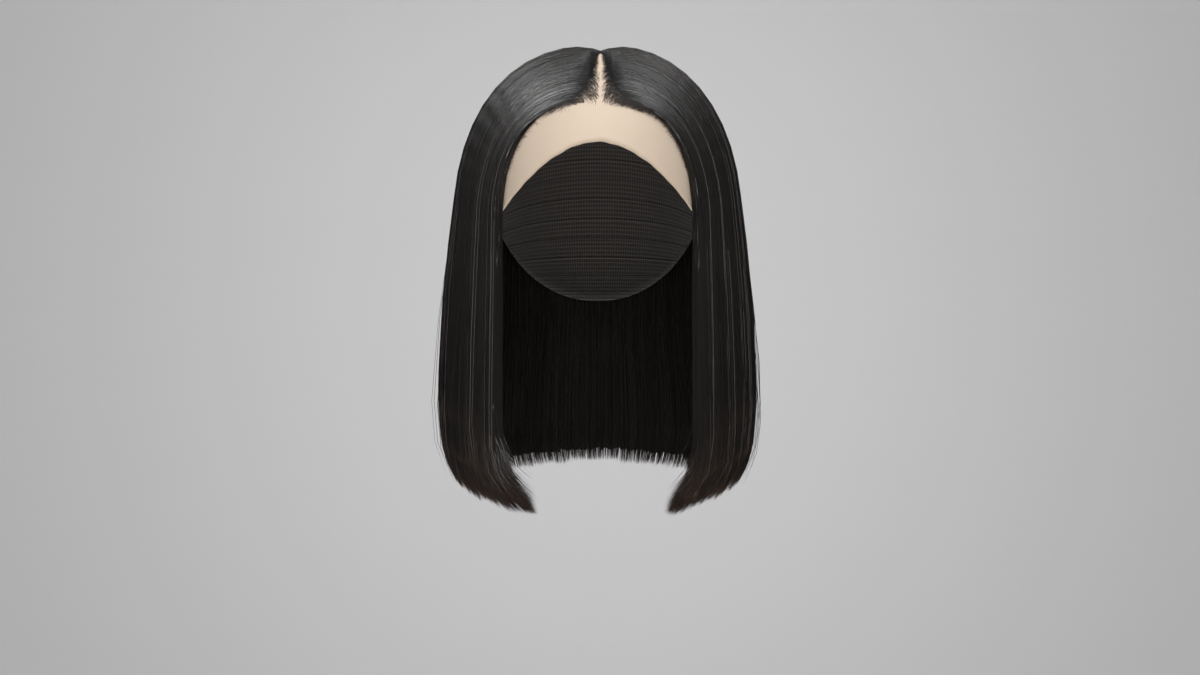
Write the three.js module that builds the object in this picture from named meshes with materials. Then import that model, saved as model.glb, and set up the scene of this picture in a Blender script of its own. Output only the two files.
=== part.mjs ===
// A straight bob wig with a centre parting and a lace front, in the shape it has when worn. Millimetres.
// +Z is up and the face opening looks along -Y, so the wearer's left is +X. The origin is the point
// inside the cap, at the crown, where the wig sits on the head.
//
// Pieces: the lace front, which runs from ear to ear and carries the hairline and the parting; the net
// cap behind it; and the hair, as a left and a right curtain that fall from the parting and a back
// curtain that fans out from the crown. Each curtain is a hollow wall of locks fused side by side.
import * as THREE from "three";
import { mergeVertices } from "three/addons/utils/BufferGeometryUtils.js";

// The head that the cap is cut for. Its widest level is headHeight below the crown.
const headBreadth = 154;
const headFront = 92; // from under the crown to the brow
const headBack = 100; // from under the crown to the back of the head
const headHeight = 107;

// Lace and cap
const laceWall = 1;
const capWall = 1;
const seamGap = 0.4; // between pieces that are sewn or laid edge to edge
const earAngle = 80; // degrees from the parting round to the arch over each ear

// Hair, measured outwards from the cap
const rootGap = 1; // flat facets dip between their corners, so the corners stand this far off the cap
const crownHair = 4.5;
const sideHair = 23.5;
const backHair = 18;
const faceSetBack = 12; // how far the curtains' front curve lies behind the brow
const faceOpening = 137; // across the face edges of the two side curtains, at their outer corners
const hairWall = 16; // the depth of hair at the cut ends of the side
const rootHair = 1.4; // the depth of hair where it leaves the parting
const edgeHair = 1.6; // the depth of hair along the hairline
const edgeRise = 0.5; // share of the way from the hairline to the side at which the hair is full

// From the widest level of the head down to the cut ends
const frontLength = 208;
const sideLength = 190;
const backLength = 182;

// Parting, along the top of the head
const partAhead = 74.5; // from the crown forward to the hairline
const partBehind = 16; // from the crown back to the whorl, where the parting closes
const partWidth = 2.6;
const partFlare = 2.6; // what the parting gains on each side where it meets the hairline
const flareFade = 6; // how fast that fades towards the crown
const partRise = 13; // how far out from its root the hair has risen to its full height
const whorlRadius = 2;
const whorlHair = 1; // height of the hair at the whorl

// Locks
const lockRelief = 1.3; // how far a lock's back stands out of the grooves beside it
const lockNotch = 4; // how far up the grooves are open at the cut ends
const lockJag = 2.5; // how much longer or shorter a lock may be than its neighbours
const jagStep = 2.4; // from lock to lock, in radians of the wave that sets their lengths
const curtainLocks = 10;
const backLocks = 18;
const columnsPerLock = 3;
const hangRows = 8;

// Rows of corners over the head, as shares of the turn from the root to the head's widest level. They
// lie close near the root, where the hair rises steeply.
const domeSweeps = [0, 0.018, 0.05, 0.1, 0.17, 0.27, 0.38, 0.5, 0.63, 0.76, 0.88, 1];
const domeFullness = 0.86; // 1 is an ellipse, and less is fuller over the temples
const edgeFullness = 0.7; // the same along the hairline, which is squarer
const domeDrop = 24; // how far below the head's widest level the dome's curve would stand upright

const halfBreadth = headBreadth / 2;
const ringHalf = halfBreadth + sideHair;
const ringFront = headFront - faceSetBack;
const ringBack = headBack + backHair;
const headCentre = new THREE.Vector3(0, 0, -headHeight);
const rootClear = Math.max(capWall, laceWall) + rootGap;

// Edges of the lace and the cap, by the share of the way from the parting to the ear. Each angle, in
// degrees, turns about the line from ear to ear: 0 is level at the brow, 90 the crown, 180 level behind.
const capEdges = [
  { across: 0, laceFront: 22, seam: 106, nape: 217 },
  { across: 0.3, laceFront: 17, seam: 105, nape: 216 },
  { across: 0.58, laceFront: 4.7, seam: 98, nape: 211 },
  { across: 0.8, laceFront: -11, seam: 78, nape: 201 },
  { across: 1, laceFront: -18, seam: 48, nape: 189 },
];

// Level sections of the hanging hair, by the share of the way from the head's widest level to the cut
// ends. Side, face and back are shares of the hair's half width, of half the face opening and of its
// depth behind. The walls are shares of hairWall.
const hangSections = [
  { drop: 0, side: 1, face: 1, back: 1, faceWall: 0.34, sideWall: 1.38, backWall: 1.0 },
  { drop: 0.14, side: 1.035, face: 1.0, back: 1.005, faceWall: 0.42, sideWall: 1.5, backWall: 1.22 },
  { drop: 0.32, side: 1.07, face: 1.005, back: 1.0, faceWall: 0.5, sideWall: 1.5, backWall: 1.75 },
  { drop: 0.5, side: 1.088, face: 1.01, back: 0.985, faceWall: 0.52, sideWall: 1.46, backWall: 1.86 },
  { drop: 0.66, side: 1.095, face: 1.015, back: 0.975, faceWall: 0.54, sideWall: 1.38, backWall: 1.6 },
  { drop: 0.82, side: 1.07, face: 1.02, back: 0.965, faceWall: 0.54, sideWall: 1.22, backWall: 1.3 },
  { drop: 0.92, side: 1.03, face: 0.93, back: 0.95, faceWall: 0.52, sideWall: 1.1, backWall: 1.1 },
  { drop: 1, side: 0.96, face: 0.72, back: 0.93, faceWall: 0.5, sideWall: 1.0, backWall: 1.0 },
];

const sideTurn = 0.3; // share of the way from the face edge to the middle of the back, at the side
const splitTurn = 0.36; // where the side curtains end and the back curtain begins
const seamTurn = 0.001; // a column this close to splitTurn lies in the seam

const radians = THREE.MathUtils.degToRad;
const mix = THREE.MathUtils.lerp;
const ease = (share) => THREE.MathUtils.smoothstep(share, 0, 1);
const roundRise = (share) => Math.sqrt(1 - (1 - THREE.MathUtils.clamp(share, 0, 1)) ** 2);

// A smooth curve through one column of a table, read at a place along another column.
function readTable(table, along, column, place) {
  const last = table.length - 1;
  const at = THREE.MathUtils.clamp(place, table[0][along], table[last][along]);
  let row = 0;
  while (row < last - 1 && at > table[row + 1][along]) row++;
  const slope = (i) => {
    const before = table[Math.max(i - 1, 0)];
    const after = table[Math.min(i + 1, last)];
    return (after[column] - before[column]) / (after[along] - before[along]);
  };
  const [from, to] = [table[row], table[row + 1]];
  const span = to[along] - from[along];
  const t = (at - from[along]) / span;
  return (
    from[column] * (1 - t) ** 2 * (1 + 2 * t) +
    to[column] * t ** 2 * (3 - 2 * t) +
    span * t * (1 - t) * (slope(row) * (1 - t) - slope(row + 1) * t)
  );
}

// A closed wall: a block of columns by rows, one cell deep, whose corners are moved to
// place(across, down, depth), each from 0 to 1.
function wallGeometry(columns, rows, place) {
  const block = new THREE.BoxGeometry(1, 1, 1, columns, rows, 1);
  block.deleteAttribute("normal");
  block.deleteAttribute("uv");
  const wall = mergeVertices(block);
  const corners = wall.getAttribute("position");
  for (let i = 0; i < corners.count; i++) {
    const point = place(corners.getX(i) + 0.5, corners.getY(i) + 0.5, corners.getZ(i) + 0.5);
    corners.setXYZ(i, point.x, point.y, point.z);
  }
  wall.computeVertexNormals();
  return wall;
}

function fabric(colour, roughness) {
  return new THREE.MeshStandardMaterial({ color: colour, roughness, metalness: 0 });
}

// The depth of the head, in front of the crown or behind it.
function headDepth(y) {
  return y < 0 ? headFront : headBack;
}

// How far out of the head a point lies, as 1 on the head when it is grown by that much all round.
function outOfHead(point, grown) {
  const from = point.clone().sub(headCentre);
  return Math.hypot(
    from.x / (halfBreadth + grown),
    from.y / (headDepth(from.y) + grown),
    from.z / (headHeight + grown),
  );
}

// The point of the grown head that lies on the line from its centre through a given point.
function ontoHead(point, grown) {
  const from = point.clone().sub(headCentre);
  return from.divideScalar(outOfHead(point, grown)).add(headCentre);
}

// A panel of the cap, from ear to ear, between two edges of the table.
function capPanel(fromEdge, toEdge, fromGap, toGap, wall, columns, rows) {
  return wallGeometry(columns, rows, (across, down, depth) => {
    const side = mix(-1, 1, across);
    const beta = radians(earAngle * side);
    const edge = (column, gap) => {
      const angle = radians(readTable(capEdges, "across", column, Math.abs(side)));
      return angle + gap / (headHeight * Math.cos(beta));
    };
    const phi = mix(edge(fromEdge, fromGap), edge(toEdge, toGap), down);
    const y = -Math.cos(beta) * Math.cos(phi);
    return new THREE.Vector3(
      (halfBreadth + wall * depth) * Math.sin(beta),
      (headDepth(y) + wall * depth) * y,
      (headHeight + wall * depth) * Math.cos(beta) * Math.sin(phi) - headHeight,
    );
  });
}

// Where round the head a lock hangs, in radians from straight ahead. Turn runs from the face edge at 0
// to the middle of the back at 1.
function hangAngle(turn, section) {
  const face = Math.asin((section.face * faceOpening) / 2 / (section.side * ringHalf));
  return turn < sideTurn
    ? mix(face, Math.PI / 2, turn / sideTurn)
    : mix(Math.PI / 2, Math.PI, (turn - sideTurn) / (1 - sideTurn));
}

function sectionAt(drop) {
  const section = {};
  for (const column of Object.keys(hangSections[0])) {
    section[column] = readTable(hangSections, "drop", column, drop);
  }
  return section;
}

// A point of the level section, with the wall taken off.
function ringPoint(turn, section, wall) {
  const angle = hangAngle(turn, section);
  const depth = angle < Math.PI / 2 ? ringFront : section.back * ringBack;
  return new THREE.Vector3(
    (section.side * ringHalf - wall) * Math.sin(angle),
    -(depth - wall) * Math.cos(angle),
    0,
  );
}

function fallLength(turn) {
  return turn < sideTurn
    ? mix(frontLength, sideLength, ease(turn / sideTurn))
    : mix(sideLength, backLength, ease((turn - sideTurn) / (1 - sideTurn)));
}

function wallAt(turn, section) {
  const share =
    turn < sideTurn
      ? mix(section.faceWall, section.sideWall, ease(turn / sideTurn))
      : mix(section.sideWall, section.backWall, ease((turn - sideTurn) / (1 - sideTurn)));
  return share * hairWall;
}

// Where a lock leaves the cap: along the parting, and behind it round the whorl.
function rootPoint(turn) {
  if (turn > splitTurn) {
    const around = mix(Math.PI / 2, Math.PI, (turn - splitTurn) / (1 - splitTurn));
    return new THREE.Vector3(
      whorlRadius * Math.sin(around),
      partBehind - whorlRadius * Math.cos(around),
      0,
    );
  }
  const widest = sectionAt(0);
  const reach = (t) => ringPoint(t, widest, 0).y;
  const back = (reach(turn) - reach(0)) / (reach(splitTurn) - reach(0));
  const flare = partFlare * Math.exp((-flareFade * turn) / splitTurn);
  return new THREE.Vector3(partWidth / 2 + flare, mix(-partAhead, partBehind, back), 0);
}

function headTop(y) {
  return headHeight * Math.sqrt(1 - (y / headDepth(y)) ** 2) - headHeight;
}

// The hair over the head, from its root at sweep 0 to the head's widest level at sweep 1.
function domePoint(turn, sweep, depth, relief) {
  const root = rootPoint(turn);
  const ring = ringPoint(turn, sectionAt(0), 0);
  const top = headTop(root.y) + crownHair + capWall;
  const height = top + headHeight + domeDrop;
  const fullness = mix(edgeFullness, domeFullness, roundRise(turn / (edgeRise * sideTurn)));
  const widest = Math.acos((domeDrop / height) ** (1 / fullness));
  const angle = widest * sweep;
  const out = (Math.sin(angle) / Math.sin(widest)) ** fullness;
  const full = root.clone().lerp(ring, out);
  full.z = top - height * (1 - Math.cos(angle) ** fullness);
  const seat = ontoHead(full, rootClear);
  const fromRoot = Math.hypot(full.x - root.x, full.y - root.y);
  const atRoot = (turn > splitTurn ? whorlHair : rootHair) / crownHair;
  const rootLift = mix(atRoot, 1, roundRise(fromRoot / partRise));
  const atEdge = mix(edgeHair / crownHair, 1, roundRise(turn / (edgeRise * sideTurn)));
  const edgeLift = mix(atEdge, 1, sweep ** 2);
  return seat.lerp(full, depth * rootLift * edgeLift).addScaledVector(
    full.clone().sub(headCentre).normalize(),
    depth * relief * sweep ** 2,
  );
}

// The hair below the head's widest level, down to the cut ends at drop 1.
function hangPoint(turn, drop, depth, relief, cut) {
  const section = sectionAt(drop);
  const wall = wallAt(turn, section);
  const point = ringPoint(turn, section, (1 - depth) * wall - depth * relief);
  point.z = -headHeight - drop * (fallLength(turn) + cut);
  if (depth < 0.5 && outOfHead(point, rootClear) < 1) {
    const below = (point.z + headHeight) / (headHeight + rootClear);
    const level = Math.sqrt(Math.max(1 - below ** 2, 0));
    const out = outOfHead(new THREE.Vector3(point.x, point.y, -headHeight), rootClear);
    point.x *= level / out;
    point.y *= level / out;
  }
  return point;
}

// Height of a lock's back at one column, and what its end is cut longer or shorter.
function lockShape(column) {
  const lock = Math.floor(column / columnsPerLock);
  const inGroove = column % columnsPerLock === 0;
  return {
    relief: inGroove ? 0 : lockRelief,
    cut: (inGroove ? -lockNotch : 0) + lockJag * Math.sin(jagStep * lock),
  };
}

// A curtain of locks between two turns. Turns past 1 go on round the other side of the head.
function curtain(fromTurn, toTurn, locks, mirror) {
  const columns = locks * columnsPerLock;
  const domeRows = domeSweeps.length - 1;
  const rows = domeRows + hangRows;
  const isBack = Math.max(fromTurn, toTurn) > 1;
  return wallGeometry(columns, rows, (across, down, depth) => {
    const column = Math.round(across * columns);
    const turn = mix(fromTurn, toTurn, across);
    const near = turn > 1 ? 2 - turn : turn;
    const { relief, cut } = lockShape(column);
    const row = Math.round((1 - down) * rows);
    const point =
      row <= domeRows
        ? domePoint(near, domeSweeps[row], depth, relief)
        : hangPoint(near, (row - domeRows) / hangRows, depth, relief, cut);
    const atSeam = Math.abs(near - splitTurn) < seamTurn;
    if (atSeam) point.y += (isBack ? seamGap : -seamGap) / 2;
    point.x *= turn > 1 ? -mirror : mirror;
    return point;
  });
}

const lace = fabric("#d9bfa6", 0.85);
const net = fabric("#1c1a19", 0.9);
const hair = fabric("#1d1b1a", 0.4);

const wig = new THREE.Group();

function addPiece(name, geometry, material) {
  const piece = new THREE.Mesh(geometry, material);
  piece.name = name;
  wig.add(piece);
}

addPiece("lace_front", capPanel("laceFront", "seam", 0, 0, laceWall, 24, 9), lace);
addPiece("net_cap", capPanel("seam", "nape", seamGap, 0, capWall, 24, 15), net);
addPiece("hair_curtain_left", curtain(0, splitTurn, curtainLocks, 1), hair);
addPiece("hair_curtain_right", curtain(splitTurn, 0, curtainLocks, -1), hair);
addPiece("hair_curtain_back", curtain(splitTurn, 2 - splitTurn, backLocks, 1), hair);

export default wig;
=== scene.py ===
import bmesh
import bpy
import numpy as np
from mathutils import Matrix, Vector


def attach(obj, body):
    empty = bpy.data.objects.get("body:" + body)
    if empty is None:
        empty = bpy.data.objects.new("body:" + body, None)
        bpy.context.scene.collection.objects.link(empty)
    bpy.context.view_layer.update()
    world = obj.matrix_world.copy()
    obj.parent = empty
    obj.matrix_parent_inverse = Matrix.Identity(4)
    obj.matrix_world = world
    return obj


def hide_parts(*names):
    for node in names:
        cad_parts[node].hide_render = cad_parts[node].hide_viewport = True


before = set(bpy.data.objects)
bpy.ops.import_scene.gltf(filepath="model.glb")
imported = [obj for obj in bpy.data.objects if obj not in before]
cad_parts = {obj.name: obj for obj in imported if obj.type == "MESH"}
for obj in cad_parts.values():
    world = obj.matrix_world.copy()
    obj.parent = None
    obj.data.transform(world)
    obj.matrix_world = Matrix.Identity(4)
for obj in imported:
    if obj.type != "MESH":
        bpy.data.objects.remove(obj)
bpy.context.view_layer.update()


# Lace front
# A band of fine nylon net in a skin colour that runs from ear to ear. It is cut to an arch over the
# forehead, and the hair is knotted into it along the hairline and the parting.

head_half_breadth = 0.077
head_front = 0.092
head_back = 0.1
head_height = 0.107
ear_angle = np.radians(80)
cap_wall = 0.001
head_centre = np.array([0, 0, -head_height])

cap_edge_across = [-0.3, 0, 0.3, 0.58, 0.8, 1]
lace_front_degrees = [17, 22, 17, 4.7, -11, -18]
seam_degrees = [105, 106, 105, 98, 78, 48]
lace_cut_wave = 0.1  # degrees, where the scissors wandered
lace_middle = 40  # degrees
net_pitch = 0.0016  # real lace has about twice as many threads, which would not show
blotches_per_metre = 22  # each about 45 mm across


def linear(hex_colour):
    """An sRGB hex colour as linear RGBA."""
    channels = [int(hex_colour[i : i + 2], 16) / 255 for i in (1, 3, 5)]
    return [c / 12.92 if c < 0.04045 else ((c + 0.055) / 1.055) ** 2.4 for c in channels] + [1]


def add_node(tree, kind, inputs=(), **settings):
    """Adds a node. Inputs pairs each socket with a value, or with another node's output."""
    node = tree.nodes.new(kind)
    for name, value in settings.items():
        setattr(node, name, value)
    for socket, value in dict(inputs).items():
        if isinstance(value, bpy.types.NodeSocket):
            tree.links.new(value, node.inputs[socket])
        else:
            node.inputs[socket].default_value = value
    return node


def start_material(name):
    """A new material and its node tree, which is empty."""
    material = bpy.data.materials.new(name)
    material.use_nodes = True
    material.node_tree.nodes.clear()
    return material, material.node_tree


def add_object(name, data):
    """A new object in the scene, for a mesh, a light or a camera."""
    made = bpy.data.objects.new(name, data)
    bpy.context.collection.objects.link(made)
    return made


def table_curve(places, values, at):
    """A smooth curve through a short table of values, read at many places."""
    places, values = np.asarray(places, float), np.asarray(values, float)
    row = np.arange(len(places))
    before, after = np.maximum(row - 1, 0), np.minimum(row + 1, len(row) - 1)
    slopes = (values[after] - values[before]) / (places[after] - places[before])
    at = np.clip(at, places[0], places[-1])
    low = np.clip(np.searchsorted(places, at) - 1, 0, len(row) - 2)
    span = places[low + 1] - places[low]
    t = (at - places[low]) / span
    return (
        values[low] * (1 - t) ** 2 * (1 + 2 * t)
        + values[low + 1] * t**2 * (3 - 2 * t)
        + span * t * (1 - t) * (slopes[low] * (1 - t) - slopes[low + 1] * t)
    )


def cap_point(across, degrees, depth):
    """A point of the cap, by its share of the way from the parting to an ear, -1 to 1, and its angle
    round the line from ear to ear."""
    beta, phi = ear_angle * across, np.radians(degrees)
    y = -np.cos(beta) * np.cos(phi)
    reach = np.where(y < 0, head_front, head_back)
    out = cap_wall * depth
    return np.stack(
        [
            (head_half_breadth + out) * np.sin(beta),
            (reach + out) * y,
            (head_height + out) * np.cos(beta) * np.sin(phi) - head_height,
        ],
        axis=-1,
    )


def laid_flat(points, middle_degrees):
    """How far each point lies from the middle of a panel of the cap, with the panel laid out flat."""
    facing = np.radians(middle_degrees)
    middle = np.array([0, -np.cos(facing), np.sin(facing)])
    up = np.array([0, np.sin(facing), np.cos(facing)])
    toward = (points - head_centre) / [head_half_breadth, (head_front + head_back) / 2, head_height]
    toward /= np.linalg.norm(toward, axis=-1, keepdims=True)
    angle = np.arccos(np.clip(toward @ middle, -1, 1))
    stretch = head_front * angle / np.maximum(np.sin(angle), 1e-6)
    return np.stack([toward[:, 0] * stretch, (toward @ up) * stretch], axis=-1)


def wall_piece(name, columns, rows, place, flatten, map_name):
    """A closed wall one cell deep, its corners moved to place(across, down, depth), each 0 to 1. Its UV
    map holds what flatten gives for the same three."""
    wall = bmesh.new()
    bmesh.ops.create_grid(wall, x_segments=columns, y_segments=rows, size=0.5)
    bmesh.ops.solidify(wall, geom=wall.faces[:], thickness=1)
    spots = np.array([v.co for v in wall.verts]) + [0.5, 0.5, 1]
    points = place(*spots.T)
    flat = flatten(points, *spots.T)
    for vert, point in zip(wall.verts, points):
        vert.co = point
    layer = wall.loops.layers.uv.new(map_name)
    for face in wall.faces:
        face.smooth = True
        for loop in face.loops:
            loop[layer].uv = flat[loop.vert.index]
    if wall.calc_volume(signed=True) < 0:
        bmesh.ops.reverse_faces(wall, faces=wall.faces[:])
    mesh = bpy.data.meshes.new(name)
    wall.to_mesh(mesh)
    wall.free()
    piece = add_object(name, mesh)
    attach(piece, "root")
    return piece


def place_lace(across, down, depth):
    side = 2 * across - 1
    front = table_curve(cap_edge_across, lace_front_degrees, np.abs(side))
    seam = table_curve(cap_edge_across, seam_degrees, np.abs(side))
    front = front + lace_cut_wave * (np.sin(61 * side) + np.sin(37 * side + 1))
    return cap_point(side, front + (seam - front) * down, depth)


lace_front = wall_piece(
    "lace_front_net", 100, 44, place_lace, lambda points, *spots: laid_flat(points, lace_middle), "Net"
)
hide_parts("lace_front")

# Swiss lace, a warp-knitted nylon net: matt, with round holes in staggered rows between fine threads,
# so it reads as an even skin tone with a faint grain and a soft sheen where it turns away.
lace_net, tree = start_material("Skin-toned nylon lace")
net_map = add_node(tree, "ShaderNodeUVMap", uv_map="Net").outputs[0]
waves = []
for degrees in (0, 60, 120):
    turn = np.radians(degrees)
    step = 2 * np.pi / net_pitch
    direction = (step * np.cos(turn), step * np.sin(turn), 0)
    along = add_node(tree, "ShaderNodeVectorMath", {0: net_map, 1: direction}, operation="DOT_PRODUCT")
    waves.append(add_node(tree, "ShaderNodeMath", {0: along.outputs["Value"]}, operation="COSINE"))
pair = add_node(tree, "ShaderNodeMath", {0: waves[0].outputs[0], 1: waves[1].outputs[0]})
holes = add_node(tree, "ShaderNodeMath", {0: pair.outputs[0], 1: waves[2].outputs[0]})
threads = add_node(
    tree,
    "ShaderNodeMapRange",
    {"Value": holes.outputs[0], "From Min": -0.6, "From Max": 1.6, "To Min": 1, "To Max": 0},
)
object_place = add_node(tree, "ShaderNodeTexCoord").outputs["Object"]
blotches = add_node(
    tree, "ShaderNodeTexNoise", {"Vector": object_place, "Scale": blotches_per_metre, "Detail": 3}
)
tint = add_node(
    tree,
    "ShaderNodeMix",
    {0: blotches.outputs["Fac"], 6: linear("#b6a490"), 7: linear("#bfaf9c")},
    data_type="RGBA",
)
shade = add_node(
    tree,
    "ShaderNodeMix",
    {0: threads.outputs[0], 6: linear("#b5a28e"), 7: tint.outputs[2]},
    data_type="RGBA",
)
relief = add_node(
    tree, "ShaderNodeBump", {"Height": threads.outputs[0], "Distance": 0.0002, "Strength": 0.18}
)
surface = add_node(
    tree,
    "ShaderNodeBsdfPrincipled",
    {
        "Base Color": shade.outputs[2],
        "Roughness": 0.75,
        "IOR": 1.53,
        "Sheen Weight": 0.15,
        "Sheen Roughness": 0.4,
        "Normal": relief.outputs[0],
    },
)
add_node(tree, "ShaderNodeOutputMaterial", {"Surface": surface.outputs[0]})
lace_front.data.materials.append(lace_net)


# Net cap
# The stretch net behind the lace, which takes the hair over the back of the head. It is knitted from
# black polyester and carries the sewn rows of hair on its outside. It shows only from below.

cap_rows = 0.012  # between two sewn rows
knit_across = 0.0022  # the mesh, about twice as coarse as a real one, so that it shows
knit_down = 0.0026
seam_gap = 0.0004
nape_degrees = [216, 217, 216, 211, 201, 189]
cap_middle = 160  # degrees


def place_cap(across, down, depth):
    side = 2 * across - 1
    seam = table_curve(cap_edge_across, seam_degrees, np.abs(side))
    seam = seam + np.degrees(seam_gap / (head_height * np.cos(ear_angle * side)))
    nape = table_curve(cap_edge_across, nape_degrees, np.abs(side))
    return cap_point(side, seam + (nape - seam) * down, depth)


net_cap = wall_piece(
    "net_cap_net", 64, 34, place_cap, lambda points, *spots: laid_flat(points, cap_middle), "Net"
)
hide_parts("net_cap")

# Knitted polyester net: matt black, with a regular mesh and a raised line of stitches every 12 mm.
cap_net, tree = start_material("Black knitted stretch net")
net_map = add_node(tree, "ShaderNodeUVMap", uv_map="Net").outputs[0]
split = add_node(tree, "ShaderNodeSeparateXYZ", {0: net_map})
waves = []
for axis, pitch, wave in ((0, knit_across, "SINE"), (1, knit_down, "SINE"), (1, cap_rows, "COSINE")):
    step = 2 * np.pi / pitch
    turns = add_node(tree, "ShaderNodeMath", {0: split.outputs[axis], 1: step}, operation="MULTIPLY")
    waves.append(add_node(tree, "ShaderNodeMath", {0: turns.outputs[0]}, operation=wave))
mesh_wave = add_node(
    tree, "ShaderNodeMath", {0: waves[0].outputs[0], 1: waves[1].outputs[0]}, operation="MAXIMUM"
)
row_line = add_node(
    tree,
    "ShaderNodeMapRange",
    {"Value": waves[2].outputs[0], "From Min": 0.9, "From Max": 1, "To Max": 3},
)
knit_height = add_node(tree, "ShaderNodeMath", {0: mesh_wave.outputs[0], 1: row_line.outputs[0]})
knit_colour = add_node(
    tree,
    "ShaderNodeMix",
    {0: mesh_wave.outputs[0], 6: linear("#242322"), 7: linear("#45413e")},
    data_type="RGBA",
)
relief = add_node(
    tree, "ShaderNodeBump", {"Height": knit_height.outputs[0], "Distance": 0.0003, "Strength": 0.7}
)
surface = add_node(
    tree,
    "ShaderNodeBsdfPrincipled",
    {
        "Base Color": knit_colour.outputs[2],
        "Roughness": 0.8,
        "IOR": 1.5,
        "Sheen Weight": 0.1,
        "Normal": relief.outputs[0],
    },
)
add_node(tree, "ShaderNodeOutputMaterial", {"Surface": surface.outputs[0]})
net_cap.data.materials.append(cap_net)


# Hair, the mass of the curtains
# Straight hair, parted in the middle and cut blunt past the chin. It falls in a left and a right curtain
# from the parting and fans out behind from the crown. Each curtain is a hollow wall of soft locks.

crown_hair = 0.0045
side_hair = 0.0235
back_hair = 0.018
face_set_back = 0.012
face_opening = 0.137
hair_wall = 0.016
root_hair = 0.0014
edge_hair = 0.0016
edge_rise = 0.5
root_clear = 0.0016

front_length = 0.208
side_length = 0.19
back_length = 0.182

part_ahead = 0.0745
part_behind = 0.016
part_width = 0.0026
part_flare = 0.0026
flare_fade = 6
part_rise = 0.013
whorl_radius = 0.002
whorl_hair = 0.001

dome_fullness = 0.86
edge_fullness = 0.7
dome_drop = 0.024
dome_run = 0.4  # share of a hair's length that lies over the head

side_turn = 0.3
split_turn = 0.36

half_width = head_half_breadth + side_hair
front_reach = head_front - face_set_back
back_reach = head_back + back_hair

# Level sections from the head's widest level, at drop 0, to the cut ends, as shares
section_drop = [0, 0.14, 0.32, 0.5, 0.66, 0.82, 0.92, 1]
section_side = [1, 1.035, 1.07, 1.09, 1.103, 1.088, 1.055, 0.985]
section_face = [1, 1.0, 1.005, 1.01, 1.015, 1.02, 0.93, 0.72]
section_back = [1, 1.005, 1.0, 0.985, 0.975, 0.965, 0.95, 0.93]
section_face_wall = [0.34, 0.42, 0.5, 0.52, 0.54, 0.54, 0.52, 0.5]
section_side_wall = [1.38, 1.5, 1.5, 1.46, 1.38, 1.22, 1.1, 1.0]
section_back_wall = [1.0, 1.22, 1.75, 1.86, 1.6, 1.3, 1.1, 1.0]


def mix(low, high, share):
    return low + (high - low) * share


def ease(share):
    share = np.clip(share, 0, 1)
    return share * share * (3 - 2 * share)


def round_rise(share):
    return np.sqrt(1 - (1 - np.clip(share, 0, 1)) ** 2)


def round_head(turn, front, side, back):
    """A value given at the face edge, the side and the middle of the back, at any turn between."""
    ahead = mix(front, side, ease(turn / side_turn))
    behind = mix(side, back, ease((turn - side_turn) / (1 - side_turn)))
    return np.where(turn < side_turn, ahead, behind)


def level_point(turn, drop, wall):
    """A point of the hair's level section, with the wall taken off, as x and y."""
    side = table_curve(section_drop, section_side, drop)
    face = table_curve(section_drop, section_face, drop)
    back = table_curve(section_drop, section_back, drop)
    face_angle = np.arcsin(face * face_opening / 2 / (side * half_width))
    ahead = mix(face_angle, np.pi / 2, turn / side_turn)
    behind = mix(np.pi / 2, np.pi, (turn - side_turn) / (1 - side_turn))
    angle = np.where(turn < side_turn, ahead, behind)
    reach = np.where(angle < np.pi / 2, front_reach, back * back_reach)
    return (side * half_width - wall) * np.sin(angle), -(reach - wall) * np.cos(angle)


def off_head(points, clear):
    """How far out of the grown head each point lies, as 1 on its surface."""
    away = points - head_centre
    reach = np.where(away[..., 1] < 0, head_front, head_back) + clear
    return np.sqrt(
        (away[..., 0] / (head_half_breadth + clear)) ** 2
        + (away[..., 1] / reach) ** 2
        + (away[..., 2] / (head_height + clear)) ** 2
    )


def over_head(turn, sweep, lift):
    """The hair over the head, from its root at sweep 0 to the head's widest level at sweep 1. Lift is 0
    at the inner face of the curtain and 1 at the outer."""
    ring_x, ring_y = level_point(turn, 0, 0)
    reach_front = level_point(np.zeros(1), 0, 0)[1]
    reach_split = level_point(np.full(1, split_turn), 0, 0)[1]
    back = (ring_y - reach_front) / (reach_split - reach_front)
    around = mix(np.pi / 2, np.pi, (turn - split_turn) / (1 - split_turn))
    at_whorl = turn > split_turn
    flare = part_flare * np.exp(-flare_fade * turn / split_turn)
    root_x = np.where(at_whorl, whorl_radius * np.sin(around), part_width / 2 + flare)
    root_y = np.where(
        at_whorl, part_behind - whorl_radius * np.cos(around), mix(-part_ahead, part_behind, back)
    )
    reach = np.where(root_y < 0, head_front, head_back)
    top = head_height * (np.sqrt(1 - (root_y / reach) ** 2) - 1) + crown_hair + cap_wall
    height = top + head_height + dome_drop
    fullness = mix(edge_fullness, dome_fullness, round_rise(turn / (edge_rise * side_turn)))
    widest = np.arccos((dome_drop / height) ** (1 / fullness))
    angle = widest * sweep
    out = (np.sin(angle) / np.sin(widest)) ** fullness
    full = np.stack(
        [
            mix(root_x, ring_x, out),
            mix(root_y, ring_y, out),
            top - height * (1 - np.maximum(np.cos(angle), 0) ** fullness),
        ],
        axis=-1,
    )
    seat = head_centre + (full - head_centre) / off_head(full, root_clear)[..., None]
    from_root = np.hypot(full[..., 0] - root_x, full[..., 1] - root_y)
    at_root = np.where(at_whorl, whorl_hair, root_hair) / crown_hair
    root_lift = mix(at_root, 1, round_rise(from_root / part_rise))
    at_edge = mix(edge_hair / crown_hair, 1, round_rise(turn / (edge_rise * side_turn)))
    edge_lift = mix(at_edge, 1, sweep**2)
    return mix(seat, full, (lift * root_lift * edge_lift)[..., None])


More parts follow.
